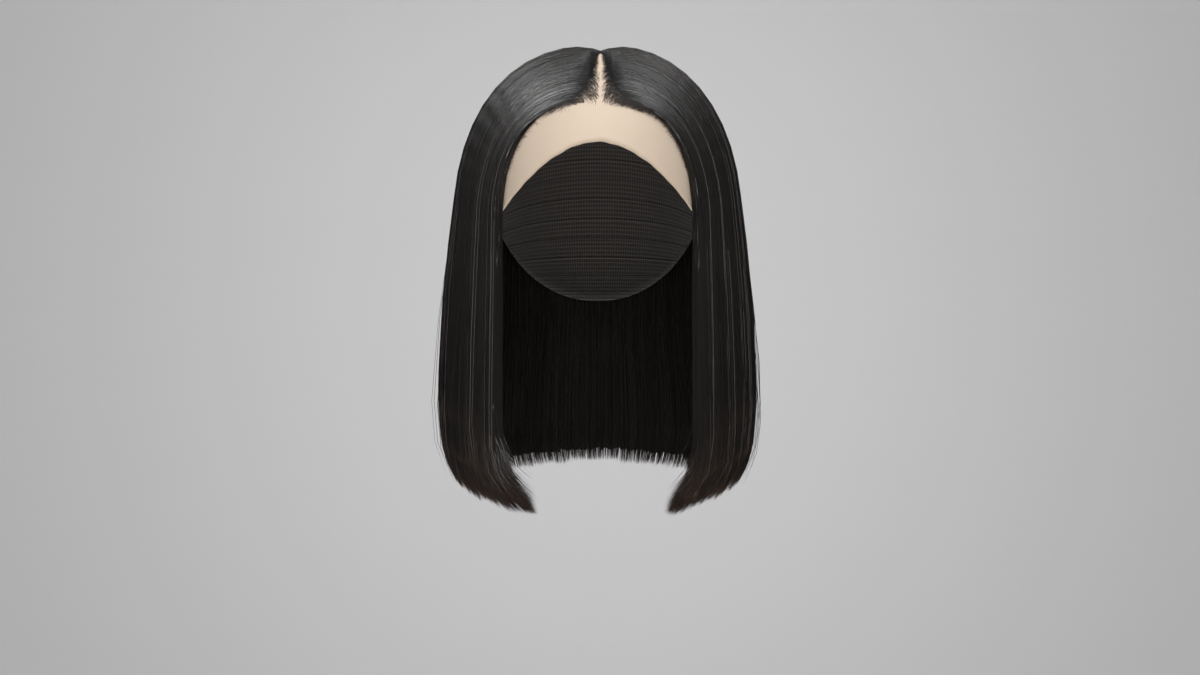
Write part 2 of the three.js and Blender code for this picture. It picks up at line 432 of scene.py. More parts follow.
def below_head(turn, drop, lift, cut):
    """The hair below the head's widest level, down to the cut ends at drop 1. Cut is added length."""
    wall = hair_wall * round_head(
        turn,
        table_curve(section_drop, section_face_wall, drop),
        table_curve(section_drop, section_side_wall, drop),
        table_curve(section_drop, section_back_wall, drop),
    )
    x, y = level_point(turn, drop, (1 - lift) * wall)
    fall = round_head(turn, front_length, side_length, back_length)
    points = np.stack([x, y, -head_height - drop * (fall + cut)], axis=-1)
    level = np.stack([x, y, np.full_like(x, -head_height)], axis=-1)
    height = (points[..., 2] + head_height) / (head_height + root_clear)
    grown = np.sqrt(np.maximum(1 - height**2, 0))
    push = np.maximum(grown / off_head(level, root_clear), 1)
    points[..., :2] *= push[..., None]
    return points


def hair_point(turn, run, lift, out=0.0, cut=0.0):
    """A point of the hair. Turn is 0 at one side of the face, 1 at the middle of the back and 2 at the
    other side, and a little past them in front of the hairline. Run is 0 at the root and 1 at the cut
    end. Out is metres out of the curtain's face."""
    turn, run, lift, out, cut = np.broadcast_arrays(turn, run, lift, out, cut)
    near = np.clip(np.where(turn > 1, 2 - turn, turn), -0.05, 1)
    over = over_head(near, np.clip(run / dome_run, 0, 1), lift)
    below = below_head(near, np.maximum((run - dome_run) / (1 - dome_run), 0), lift, cut)
    on_top = (run <= dome_run)[..., None]
    points = np.where(on_top, over, below)
    away = points - head_centre
    away[..., 2] = np.where(on_top[..., 0], away[..., 2], 0)
    points = points + away / np.linalg.norm(away, axis=-1, keepdims=True) * out[..., None]
    points[..., 0] *= np.where(turn > 1, -1, 1)
    return points


def comb_locks(seed, from_turn, to_turn, width):
    """Soft locks between two turns: where each begins, and how far each stands out, is cut longer and
    leans at its end."""
    rng = np.random.default_rng(seed)
    count = round((to_turn - from_turn) / width)
    steps = rng.uniform(0.6, 1.4, count)
    edges = from_turn + (to_turn - from_turn) * np.concatenate([[0], np.cumsum(steps)]) / steps.sum()
    return {
        "edges": edges,
        "centres": (edges[1:] + edges[:-1]) / 2,
        "stand": rng.uniform(-0.0004, 0.0004, count),
        "cut": rng.uniform(-0.0018, 0.0014, count),
        "lean": rng.uniform(-0.005, 0.005, count),
    }


lock_relief = 0.00024  # from the middle of a lock to the groove beside it
comb_relief = 0.0003
comb_waves = 18
comb_rng = np.random.default_rng(2)
comb_periods = 0.0032 * 7 ** comb_rng.random(comb_waves)  # in turns, 0.8 to 6 mm at the sides
comb_starts = comb_rng.uniform(0, 2 * np.pi, comb_waves)
comb_drifts = comb_rng.uniform(-4, 4, comb_waves)


def combed(turn, run):
    """The fine streaks that a comb leaves, long and side by side, mostly between -1 and 1."""
    height = np.zeros(np.broadcast_shapes(np.shape(turn), np.shape(run)))
    for period, start, drift in zip(comb_periods, comb_starts, comb_drifts):
        height += np.sqrt(period) * np.sin(2 * np.pi * turn / period + drift * run + start)
    return height / np.sqrt(2 * comb_periods.sum())


def lock_shape(locks, turn, run):
    """How far the locks and the comb's streaks stand out of the curtain's mean face."""
    which = np.clip(np.searchsorted(locks["edges"], turn) - 1, 0, len(locks["centres"]) - 1)
    width = locks["edges"][which + 1] - locks["edges"][which]
    place = np.clip((turn - locks["edges"][which]) / width, 0, 1)
    ridge = -0.5 * lock_relief * np.cos(2 * np.pi * place)
    stand = np.interp(turn, locks["centres"], locks["stand"])
    fade = ease(run / 0.06) * mix(1, 0.2, ease(run / 0.5))
    return (ridge + stand) * ease((run - 0.15) / 0.6) + comb_relief * combed(turn, run) * fade


tip_sweep_left = 0.009  # how far the front tips sweep in towards the throat, in turns
tip_sweep_right = 0.027
tip_reach = 0.09  # how far from the face edge they do so, in turns
tip_start = 0.74  # the run at which they begin to


def from_face(turn):
    """How many turns lie between the hair and the edge of the face, on either side."""
    return np.where(turn > 1, 2 - turn, turn)


def at_tip(turn):
    """How much of a front tip's sweep and ragged cut the hair has, from 0 to 1."""
    return np.clip(1 - from_face(turn) / tip_reach, 0, 1)


lace_shows = 0.0014  # from the middle of the parting, at the whorl


def closed_from(turn):
    """How far from the parting the lace stops showing between the roots."""
    toward_front = 0.0062 * np.exp(-from_face(turn) / 0.13)
    at_hairline = 0.0125 * np.exp(-from_face(turn) / 0.032)
    return lace_shows + toward_front + at_hairline


root_runs = np.linspace(0, 0.14, 40)


def run_at(turn, out):
    """The run at which hairs of these turns have come this far out from the parting."""
    turn, out = np.ravel(turn), np.ravel(out)
    paths = np.abs(hair_point(turn[:, None], root_runs, 1.0)[..., 0])
    return np.array([np.interp(reach, path, root_runs) for reach, path in zip(out, paths)])


def risen(turn, run, start):
    """How far up from the lace hairs have risen that start at a run, as a share of the curtain."""
    rise_run = 0.006 + 0.028 * np.exp(-from_face(turn) / 0.08)
    return ease((run - start) / rise_run)


def swept_in(turn, run):
    """Where the hair has moved to, whose front tips sweep in towards the throat."""
    share = at_tip(turn) * np.clip((run - tip_start) / (1 - tip_start), 0, 1) ** 2.4
    return turn + np.where(turn > 1, tip_sweep_right, -tip_sweep_left) * share


part_aside = 0.0021
aside_reach = 0.045  # to each side, where about a third of the move is left
aside_drop = 0.085  # below the crown, where it ends
aside_fade = 0.03


def set_parting(points):
    """Moves the parting, and the hair beside it, a little to the wearer's left."""
    beside = np.exp(-((points[..., 0] / aside_reach) ** 2))
    near = beside * ease((points[..., 2] + aside_drop) / aside_fade)
    return points + near[..., None] * [part_aside, 0, 0]


cross_ahead = 0.03  # ahead of the crown, behind which hairs cross over the parting
cross_fade = 0.012
cross_sink = 0.0018  # how much lower they lie there
cross_run = 0.04  # the run at which they are out of it


def crossing(points):
    """Where the hairs of the front curtains cross over the parting, from 0 to 1."""
    return ease((points[..., 1] + cross_ahead) / cross_fade)


edge_back = 0.004  # in turns, how far the mass stays inside the hairs at the face
mass_below = 0.0009  # how far it stays under the hairs that lie on it
mass_ragged = 0.008  # in runs, how unevenly it stops
mass_inner = 0.06  # the lift of its inner face
mass_outer = 0.97  # and of its outer face, clear of the roots
mass_flat = 0.15  # share of that at the roots
turn_width = 0.25  # metres round the curtains to a turn
fall_length = 0.33


def curtain_mass(side, locks, columns, rows, stop):
    """The mass of one curtain, a little inside the hairs that lie on it. It stops short of the cut, and
    starts where the roots have closed up."""
    first, last = locks["edges"][0], locks["edges"][-1]

    def place(across, down, depth):
        from_turn = first + edge_back * (side == "left")
        to_turn = last - edge_back * (side == "right")
        turn = mix(from_turn, to_turn, across)
        first_run = run_at(turn, 1.2 * closed_from(turn))
        run = mix(first_run, stop + mass_ragged * combed(turn, 0), (1 - down) ** 1.25)
        up = risen(turn, run, first_run)
        out = (lock_shape(locks, turn, run) - mass_below) * depth
        lift = mix(mass_inner, mass_outer * mix(mass_flat, 1, up), depth)
        points = hair_point(swept_in(turn, run), run, lift, out)
        if side != "back":
            points[..., 2] -= cross_sink * up * depth * crossing(points) * (1 - ease(run / cross_run))
        return set_parting(points)

    def flatten(points, across, down, depth):
        return np.stack([mix(first, last, across) * turn_width, (1 - down) * fall_length], axis=-1)

    mass = wall_piece(f"hair_mass_{side}", columns, rows, place, flatten, "Fibre")
    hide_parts(f"hair_curtain_{side}")
    return mass


face_start = 0.006  # in turns, where the first lock begins
front_lock = 0.022  # a lock's mean width, in turns
back_lock = 0.024
locks_left = comb_locks(3, face_start, split_turn, front_lock)
locks_back = comb_locks(5, split_turn, 2 - split_turn, back_lock)
locks_right = comb_locks(8, 2 - split_turn, 2 - face_start, front_lock)
mass_left = curtain_mass("left", locks_left, columns=90, rows=52, stop=0.94)
mass_back = curtain_mass("back", locks_back, columns=150, rows=42, stop=0.968)
mass_right = curtain_mass("right", locks_right, columns=90, rows=52, stop=0.94)

# Straight hair, dyed black: each hair is a smooth, clear cylinder over a dark core, so the mass is
# almost black with a soft bright band across the hairs. Fine streaks run the length of it, 0.6 mm wide
# and 110 mm long, under broader ones of 2 by 200 mm. Real ones are finer, which would not show.
hair_mass, tree = start_material("Straight black hair, combed")
fibre_map = add_node(tree, "ShaderNodeUVMap", uv_map="Fibre").outputs[0]
stretch = add_node(tree, "ShaderNodeMapping", {"Vector": fibre_map, "Scale": (1800, 9, 1)})
streaks = add_node(
    tree,
    "ShaderNodeTexNoise",
    {"Vector": stretch.outputs[0], "Scale": 1, "Detail": 3, "Roughness": 0.6},
)
stretch_wide = add_node(tree, "ShaderNodeMapping", {"Vector": fibre_map, "Scale": (500, 5, 1)})
bands = add_node(
    tree, "ShaderNodeTexNoise", {"Vector": stretch_wide.outputs[0], "Scale": 1, "Detail": 2}
)
both = add_node(tree, "ShaderNodeMath", {0: streaks.outputs["Fac"], 1: bands.outputs["Fac"]})
hair_colour = add_node(
    tree,
    "ShaderNodeMix",
    {0: bands.outputs["Fac"], 6: linear("#0b0b0b"), 7: linear("#1a1918")},
    data_type="RGBA",
)
gloss = add_node(
    tree,
    "ShaderNodeMapRange",
    {"Value": streaks.outputs["Fac"], "From Min": 0.3, "From Max": 0.7, "To Min": 0.5, "To Max": 0.7},
)
relief = add_node(
    tree, "ShaderNodeBump", {"Height": both.outputs[0], "Distance": 0.0006, "Strength": 0.8}
)
surface = add_node(
    tree,
    "ShaderNodeBsdfPrincipled",
    {
        "Base Color": hair_colour.outputs[2],
        "Roughness": gloss.outputs[0],
        "IOR": 1.55,
        "Normal": relief.outputs[0],
    },
)
add_node(tree, "ShaderNodeOutputMaterial", {"Surface": surface.outputs[0]})
for mass in (mass_left, mass_back, mass_right):
    mass.data.materials.append(hair_mass)


# Hair, the single hairs
# The hairs that lie on the mass and hang below it to the cut. Each stands for the few real hairs that
# cling together, and tapers to a fine end. They are laid along the same fall as the mass.

hair_radius = 0.00023
splay = 0.0026  # in turns, how far the ends stray from the fall
tip_longer = 0.004
cut_ragged = 0.0015  # how much shorter than the cut a hair is on average
tip_ragged = 0.0048  # the same at the front tips
cut_past = 0.0012  # how far past the cut the longest reach
root_taper = 0.06  # the run over which a hair thickens from its root
end_taper = 0.12  # the run over which it thins to its end
lock_pull = 0.14  # how far a hair drifts to the middle of its lock on the way down
end_pull = 0.36  # and how much further at its end

# How a hair's points are shared out along it: closest together over the head, where it bends most
bend_runs = [0, 0.016, 0.06, 0.41, 0.6, 0.85, 1]
bend_shares = [0, 0.09, 0.2, 0.74, 0.81, 0.89, 1]
inner_steps = np.array([0, 0.15, 0.4, 0.65, 0.82, 0.93, 1])  # for a hair inside the curtain


def bend_steps(start, count):
    """The runs of a hair's points from its start to its end, close together where it bends most."""
    before = np.interp(start, bend_runs, bend_shares)
    return np.interp(before + (1 - before) * np.linspace(0, 1, count), bend_shares, bend_runs)


def follow_locks(locks, turn, run, gather):
    """Where hairs that start at a turn have drifted to further down: towards the middle of their lock,
    with its lean at the end, and in towards the throat at the front tips. Also how long they are cut."""
    which = np.clip(np.searchsorted(locks["edges"], turn) - 1, 0, len(locks["centres"]) - 1)
    pull = gather * (lock_pull * ease((run - 0.1) / 0.7) + end_pull * ease((run - 0.84) / 0.16))
    lean = np.interp(turn, locks["centres"], locks["lean"])
    at = turn + (locks["centres"][which] - turn) * pull + lean * ease((run - 0.5) / 0.5)
    at = np.clip(at, locks["edges"][0], locks["edges"][-1])
    longer = tip_longer * at_tip(turn)
    return swept_in(at, run), np.interp(turn, locks["centres"], locks["cut"]) + longer


def splayed(rng, run, start):
    """How many turns the ends of hairs stray from the fall, from a run down."""
    return splay * rng.normal(0, 1, (len(run), 1)) * ease((run - start) / (1 - start))


def cut_ends(rng, turn, lock_cut):
    """How much longer than the curtain hairs are, whose ends are ragged, most so at the front tips."""
    ragged = mix(cut_ragged, tip_ragged, at_tip(turn))
    return lock_cut - rng.exponential(1, turn.shape) * ragged + cut_past


def join_hairs(name, lines, radii, shades, material):
    """Joins hairs into one closed mesh. Lines holds each hair's points, radii its half width at each,
    and shades its shade, at each or for the whole. Each hair is three sided and ends in a point. Its UV
    map holds its shade and its length."""
    count, steps = lines.shape[:2]
    lines = set_parting(lines)
    ahead = np.gradient(lines, axis=1)
    ahead /= np.maximum(np.linalg.norm(ahead, axis=-1, keepdims=True), 1e-9)
    away = lines - head_centre
    away[..., 2] = np.maximum(away[..., 2], 0)
    across = np.cross(ahead, away)
    across /= np.maximum(np.linalg.norm(across, axis=-1, keepdims=True), 1e-9)
    above = np.cross(across, ahead)
    ring = []
    for corner in range(3):
        angle = np.pi / 2 + corner * 2 * np.pi / 3
        side = np.cos(angle) * across + 0.7 * np.sin(angle) * above
        ring.append(lines[:, :-1] + side[:, :-1] * radii[:, :-1, None])
    rings = np.stack(ring, axis=2).reshape(count, -1, 3)
    corners = np.concatenate([rings, lines[:, -1:]], axis=1)
    per_hair = corners.shape[1]
    faces = [(0, 1, 2)]
    for step in range(steps - 2):
        for corner in range(3):
            here, beside = 3 * step + corner, 3 * step + (corner + 1) % 3
            faces.append((here, here + 3, beside + 3, beside))
    for corner in range(3):
        faces.append((per_hair - 4 + corner, per_hair - 1, per_hair - 4 + (corner + 1) % 3))
    every = [tuple(i + hair * per_hair for i in face) for hair in range(count) for face in faces]
    mesh = bpy.data.meshes.new(name)
    mesh.from_pydata(corners.reshape(-1, 3).tolist(), [], every)
    length = np.concatenate([np.repeat(np.arange(steps - 1), 3), [steps - 1]]) / (steps - 1)
    shades = np.broadcast_to(shades, (count, steps))
    shades = np.concatenate([np.repeat(shades[:, :-1], 3, axis=1), shades[:, -1:]], axis=1)
    flat = np.stack([shades.ravel(), np.tile(length, count)], axis=-1)
    used = np.empty(len(mesh.loops), int)
    mesh.loops.foreach_get("vertex_index", used)
    mesh.uv_layers.new(name="Hair").uv.foreach_set("vector", flat[used].ravel())
    mesh.polygons.foreach_set("use_smooth", [True] * len(mesh.polygons))
    mesh.materials.append(material)
    hairs = add_object(name, mesh)
    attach(hairs, "root")
    return hairs


def taper(run, start, root, tip):
    """A hair's half width along its length, fine at the root and finer at the end."""
    thickened = mix(root, 1, ease((run - start) / root_taper))
    return thickened * mix(1, tip, ease((run - 1 + end_taper) / end_taper))


# Dyed hair, seen singly: nearly black, with the brown of the core where the ends thin out. A few hairs
# are painted paler, as painted highlights where they catch the light. Where the hairs rise from their
# roots they stand apart, so shades under 0.3 are matt; they are also painted darker there, as painted
# shade beside the parting.
single_hair, tree = start_material("Black hair, single")
hair_map = add_node(tree, "ShaderNodeUVMap", uv_map="Hair").outputs[0]
split = add_node(tree, "ShaderNodeSeparateXYZ", {0: hair_map})
# Low shades give the darkest colour: painted shade at the roots and lower down the curtain
core = add_node(
    tree,
    "ShaderNodeMix",
    {0: split.outputs[0], 6: linear("#080808"), 7: linear("#24211f")},
    data_type="RGBA",
)
# The palest shades paint a few stray hairs lighter, as painted highlights
highlight_share = add_node(
    tree, "ShaderNodeMapRange", {"Value": split.outputs[0], "From Min": 0.88, "From Max": 1}
)
with_highlights = add_node(
    tree,
    "ShaderNodeMix",
    {0: highlight_share.outputs[0], 6: core.outputs[2], 7: linear("#5c5855")},
    data_type="RGBA",
)
end_share = add_node(
    tree, "ShaderNodeMapRange", {"Value": split.outputs[1], "From Min": 0.86, "From Max": 1}
)
ends = add_node(
    tree,
    "ShaderNodeMix",
    {0: end_share.outputs[0], 6: with_highlights.outputs[2], 7: linear("#382b24")},
    data_type="RGBA",
)
gloss = add_node(
    tree, "ShaderNodeMapRange", {"Value": split.outputs[0], "To Min": 0.48, "To Max": 0.22}
)
root_share = add_node(
    tree,
    "ShaderNodeMapRange",
    {"Value": split.outputs[0], "From Min": 0, "From Max": 0.3, "To Min": 0.55, "To Max": 0},
)
rougher = add_node(tree, "ShaderNodeMath", {0: gloss.outputs[0], 1: root_share.outputs[0]})
surface = add_node(
    tree,
    "ShaderNodeBsdfPrincipled",
    {
        "Base Color": ends.outputs[2],
        "Roughness": rougher.outputs[0],
        "IOR": 1.55,
        "Specular IOR Level": 0.8,
    },
)
add_node(tree, "ShaderNodeOutputMaterial", {"Surface": surface.outputs[0]})

cross_over = 0.0035  # how far over the parting the furthest root lies
edge_reach = 0.035  # in turns from the face, within which hairs are rooted along the hairline
edge_ahead = 0.012  # in turns, how far ahead of their place the furthest of them is rooted
rooted_run = 0.3  # the run down to which they are
weave_turns = (0.0003, 0.0014)  # how far a hair weaves from side to side
lie_out = (-0.0004, 0.0002)  # how far out of the curtain's face the hairs lie
# The stray hairs are also painted paler than the rest, as painted highlights
stray_share = 0.011  # of the hairs, which lie on the others and catch the light
stray_out = 0.0005
loose_share = 0.005  # of the hairs, which stand off the curtain further down
loose_out = (0.001, 0.006)
cover_sunk = 0.003  # how far under the others a covering hair begins

# Painted shade near the parting: the hair is darker and matt there, where it lies in its own shade,
# furthest out a little behind the hairline
dark_turns = [0, 0.05, 0.11, 0.16, 0.24]
dark_runs = [0.03, 0.055, 0.058, 0.028, 0.01]
dark_left = 0.8  # the left side has less of it


def lay_hairs(name, locks, seed, count, steps, rooted):
    """Hairs over a curtain's outer face. Rooted ones start at the parting or the whorl, and the others
    come out from under them further down."""
    rng = np.random.default_rng(seed)
    each = (count, 1)
    back = locks is locks_back
    turn = rng.uniform(locks["edges"][0], locks["edges"][-1], each)
    if rooted:
        at_edge = np.clip(1 - from_face(turn) / edge_reach, 0, 1)
        rooted_out = closed_from(turn) * mix(0.4, 1.3, rng.random(each) ** 0.75)
        start = 0 if back else run_at(turn, rooted_out)[:, None]
        start = start + rooted_run * rng.random(each) ** 2 * at_edge
        ahead = edge_ahead * rng.random(each) * at_edge * ease(start / 0.1)
    else:
        start = rng.uniform(0.04 if back else 0.24, 0.5, each)
        ahead = 0
    run = bend_steps(start, steps)
    weave = rng.uniform(*weave_turns, each) * np.sin(
        2 * np.pi * (rng.uniform(0.3, 0.9, each) * run + rng.random(each))
    )
    strayed = weave * ease(run / 0.15) + splayed(rng, run, 0.8)
    at, lock_cut = follow_locks(locks, turn + strayed, run, 0.15 if back else 0.7)
    at = at - np.where(turn > 1, -1, 1) * ahead * (1 - ease((run - start) / 0.08))
    stray = rng.random(each) > 1 - stray_share
    out = np.where(stray, stray_out, rng.uniform(*lie_out, each)) * ease(run / 0.08)
    loose = rng.random(each) > 1 - loose_share
    out = out + loose * rng.uniform(*loose_out, each) * ease((run - 0.45) / 0.4)
    sunk = 0 if rooted else cover_sunk * (1 - ease((run - start) / 0.07))
    lift = mix(0.1, 1, risen(turn, run, start)) if rooted else 1.0
    cut = cut_ends(rng, turn, lock_cut)
    lines = hair_point(at, run, lift, out + lock_shape(locks, turn, run) - sunk, cut)
    if rooted and not back:
        crosses = crossing(lines[:, :1])
        spread = -cross_over * rng.random(each) * crosses
        lines[..., 0] += np.where(turn > 1, -1, 1) * spread * (1 - ease(run / 0.03))
        sink = cross_sink * mix(0.3, 1, risen(turn, run, start))
        lines[..., 2] -= sink * crosses * (1 - ease(run / cross_run))
    radii = hair_radius * rng.uniform(0.7, 1.3, each) * taper(run, start, 0.3, 0.4)
    streak = 0.33 * combed(turn, 0.3) + rng.normal(0, 0.13, each)
    # Hanging hairs get darker shades than those over the head: painted shade, where they catch less
    # light from above
    hanging = ease(run / 0.45)
    shades = np.clip(mix(0.56, 0.46, hanging) + streak * mix(1, 0.2, hanging), 0.3, 0.87)
    # The stray hairs get the palest shades, which paint them lighter: painted highlights
    shades = np.where(stray, rng.uniform(0.88, 1, each), shades)
    # Towards the roots the shades fall to 0, darker and matt: painted shade beside the parting
    dark_run = np.interp(from_face(turn), dark_turns, dark_runs) * rng.uniform(0.8, 1.3, each)
    dark_run = dark_run * np.where(turn > 1, 1, dark_left)
    shades = shades * ease(run / dark_run - 0.3)
    return join_hairs(name, lines, radii, shades, single_hair)


lay_hairs("hair_strands_left", locks_left, seed=11, count=1350, steps=18, rooted=True)
lay_hairs("hair_strands_right", locks_right, seed=12, count=1350, steps=18, rooted=True)
lay_hairs("hair_strands_back", locks_back, seed=13, count=600, steps=18, rooted=True)
lay_hairs("hair_cover_left", locks_left, seed=14, count=900, steps=11, rooted=False)
lay_hairs("hair_cover_right", locks_right, seed=15, count=900, steps=11, rooted=False)
lay_hairs("hair_cover_back", locks_back, seed=16, count=2050, steps=12, rooted=False)


def toward_face(share, locks):
    """Shares drawn evenly, moved so that more of a front curtain's hairs end in its tips."""
    if locks is locks_back:
        return share
    return share**1.4 if locks is locks_left else 1 - share**1.4


def fill_hairs(name, locks, seed, count, inner_share):
    """The hairs inside a curtain, which show on its inner face and fill the cut."""
    rng = np.random.default_rng(seed)
    each = (count, 1)
    turn = mix(locks["edges"][0], locks["edges"][-1], toward_face(rng.random(each), locks))
    inside = rng.random(each) < inner_share
    start = np.where(inside, rng.uniform(0.38, 0.5, each), rng.uniform(0.78, 0.9, each))
    run = start + (1 - start) * inner_steps
    at, lock_cut = follow_locks(locks, turn + splayed(rng, run, 0.85), run, 0.12)
    lift = np.where(inside, rng.uniform(0, 0.05, each), rng.uniform(0.03, 0.97, each))
    lines = hair_point(at, run, lift, cut=cut_ends(rng, turn, lock_cut))
    radii = 1.3 * hair_radius * rng.uniform(0.8, 1.4, each) * taper(run, start, 0.8, 0.35)
    return join_hairs(name, lines, radii, rng.uniform(0.3, 0.87, each), single_hair)


fill_hairs("hair_fill_left", locks_left, seed=21, count=1500, inner_share=0.3)
fill_hairs("hair_fill_right", locks_right, seed=22, count=1500, inner_share=0.3)
fill_hairs("hair_fill_back", locks_back, seed=23, count=1900, inner_share=0.35)


wisp_away = 0.0085  # in turns, how far a wisp has come away


def edge_hairs(name, locks, seed, count, wisp_count):
    """The hairs along the face edge of a front curtain, from its outer face to its inner one. A thin
    wisp has come away from it near the tip."""
    rng = np.random.default_rng(seed)
    each = (count, 1)
    edge, side = (locks["edges"][0], 1) if locks is locks_left else (locks["edges"][-1], -1)
    wisp = np.arange(count)[:, None] < wisp_count
    turn = edge + side * np.where(wisp, 0.25, 1) * rng.uniform(-0.003, edge_back, each)
    start = np.where(wisp, 0.7, rng.uniform(0.08, 0.5, each))
    run = start + (1 - start) * np.linspace(0, 1, 13)
    away = wisp_away * np.sin(np.pi * np.clip((run - 0.78) / 0.24, 0, 1)) ** 1.3
    at = swept_in(turn - side * away * wisp, run)
    lift = np.where(wisp, rng.uniform(0.7, 0.8, each), rng.uniform(0.02, 1, each))
    cut = tip_longer - rng.exponential(0.003, each) * mix(1, 0.4, wisp)
    lines = hair_point(at, run, lift, cut=cut)
    thickest = mix(1, 1.3, wisp) * hair_radius * rng.uniform(0.7, 1.2, each)
    radii = thickest * taper(run, start, 0.5, 0.4)
    return join_hairs(name, lines, radii, rng.uniform(0.4, 0.6, each), single_hair)


edge_hairs("hair_edge_left", locks_left, seed=24, count=280, wisp_count=30)
edge_hairs("hair_edge_right", locks_right, seed=25, count=280, wisp_count=24)


# Hairs at the hairline and the parting
# Short fine hairs are knotted one by one into the lace, sparse at its edge and closer further in. They
# lie back and outwards, and lead into the curtains.

# Fine hair: too thin for the dye to hide all of the brown, and matt.
fine_hair, tree = start_material("Fine hair, brown black")
hair_map = add_node(tree, "ShaderNodeUVMap", uv_map="Hair").outputs[0]
split = add_node(tree, "ShaderNodeSeparateXYZ", {0: hair_map})
fine_core = add_node(
    tree,
    "ShaderNodeMix",
    {0: split.outputs[0], 6: linear("#261c18"), 7: linear("#503f37")},
    data_type="RGBA",
)
deeper = add_node(
    tree,
    "ShaderNodeMix",
    {0: split.outputs[1], 6: fine_core.outputs[2], 7: linear("#1f1815")},
    data_type="RGBA",
)
surface = add_node(
    tree,
    "ShaderNodeBsdfPrincipled",
    {"Base Color": deeper.outputs[2], "Roughness": 0.7, "IOR": 1.55},
)
add_node(tree, "ShaderNodeOutputMaterial", {"Surface": surface.outputs[0]})

hairline_radius = 0.00008  # about twice a real hair's, so that it shows
fan_radius = 0.000075
parting_radius = 0.00007
short_steps = np.linspace(0, 1, 6)
hairline_runs = np.linspace(0, 0.12, 60)
hairline_path = hair_point(0.0, hairline_runs, 0.0)


def on_lace(x, y, clear):
    """Points a clearance out of the lace, as it lies on the head."""
    reach = np.where(y < 0, head_front, head_back) + cap_wall + clear
    level = 1 - (x / (head_half_breadth + cap_wall + clear)) ** 2 - (y / reach) ** 2
    z = (head_height + cap_wall + clear) * np.sqrt(np.maximum(level, 0)) - head_height
    return np.stack([x, y, z], axis=-1)


def knotted_hairs(name, x, y, heading, length, radius, knot, seed):
    """Short hairs of both sides, rooted in the lace at x and y, a few to a knot. Each leaves at its
    heading, in degrees from straight back, turns outwards and rises into the curtain."""
    rng = np.random.default_rng(seed)
    count = len(x)
    step = length[:, None] / (len(short_steps) - 1)
    angle = np.radians(heading[:, None] + 35 * short_steps)
    root = np.zeros((count, 1))
    ahead = np.concatenate([root, np.cumsum(step * np.cos(angle[:, :-1]), axis=1)], axis=1)
    aside = np.concatenate([root, np.cumsum(step * np.sin(angle[:, :-1]), axis=1)], axis=1)
    rise = mix(0.0001, rng.uniform(0.0008, 0.0022, (count, 1)), short_steps**1.4)
    lines = on_lace(x[:, None] + aside, y[:, None] + ahead, rise)
    lines[..., 0] *= np.where(np.arange(count) // knot % 2, -1, 1)[:, None]
    radii = radius * rng.uniform(0.7, 1.3, (count, 1)) * mix(1, 0.6, short_steps)
    return join_hairs(name, lines, radii, rng.uniform(0, 1, (count, 1)), fine_hair)


def short_hairs(name, turns, runs, radius, seed):
    """Short hairs of both sides, from one turn and run to another, out of the lace into the curtain."""
    rng = np.random.default_rng(seed)
    count = len(turns[0])
    turn = mix(turns[0][:, None], turns[1][:, None], short_steps)
    run = mix(runs[0][:, None], runs[1][:, None], short_steps**1.2)
    right = np.arange(count)[:, None] % 2 == 1
    lines = hair_point(np.where(right, 2 - turn, turn), run, 0.8 * short_steps**1.5)
    radii = radius * rng.uniform(0.7, 1.2, (count, 1)) * mix(1, 0.5, short_steps)
    return join_hairs(name, lines, radii, rng.uniform(0, 1, (count, 1)), fine_hair)


# Along the hairline, down to the ears
edge_rng = np.random.default_rng(31)
edge_count = 1300
edge_first = 0.012  # the run at which they begin
edge_runs = 0.31  # how far down they go on
edge_sparse = 0.0045  # in turns, how far ahead of the hairline a hair is rooted on average
edge_furthest = 0.02
edge_run = edge_first + edge_runs * edge_rng.random(edge_count) ** 1.15
edge_turn = -edge_rng.exponential(edge_sparse, edge_count) * ease((edge_run - 0.005) / 0.06)
short_hairs(
    "hairline_hairs",
    (np.maximum(edge_turn, -edge_furthest), edge_rng.uniform(0.008, 0.03, edge_count)),
    (edge_run, edge_run + edge_rng.uniform(0.01, 0.025, edge_count)),
    hairline_radius,
    seed=32,
)

# In front of the parting, fanned out to both sides
fan_rng = np.random.default_rng(35)
fan_count = 1500
fan_from = 0.0012  # out from the middle of the parting
fan_width = 0.028
fan_ahead = 0.0008
fan_deep = 0.0095  # how far back from the hairline they are rooted beside the parting
fan_shallow = 0.0035  # and further out
fan_x = fan_from + fan_width * fan_rng.random(fan_count) ** 0.62
fan_y = np.interp(fan_x, hairline_path[:, 0], hairline_path[:, 1]) - 0.001 * ease(fan_x / 0.022)
fan_depth = mix(fan_deep, fan_shallow, ease(fan_x / 0.018))
knotted_hairs(
    "hairline_fan_hairs",
    fan_x,
    fan_y + mix(-fan_ahead, fan_depth, fan_rng.random(fan_count)),
    heading=mix(16, 54, ease(fan_x / 0.012)) + fan_rng.normal(0, 9, fan_count),
    length=fan_rng.uniform(0.006, 0.012, fan_count),
    radius=fan_radius,
    knot=1,
    seed=36,
)

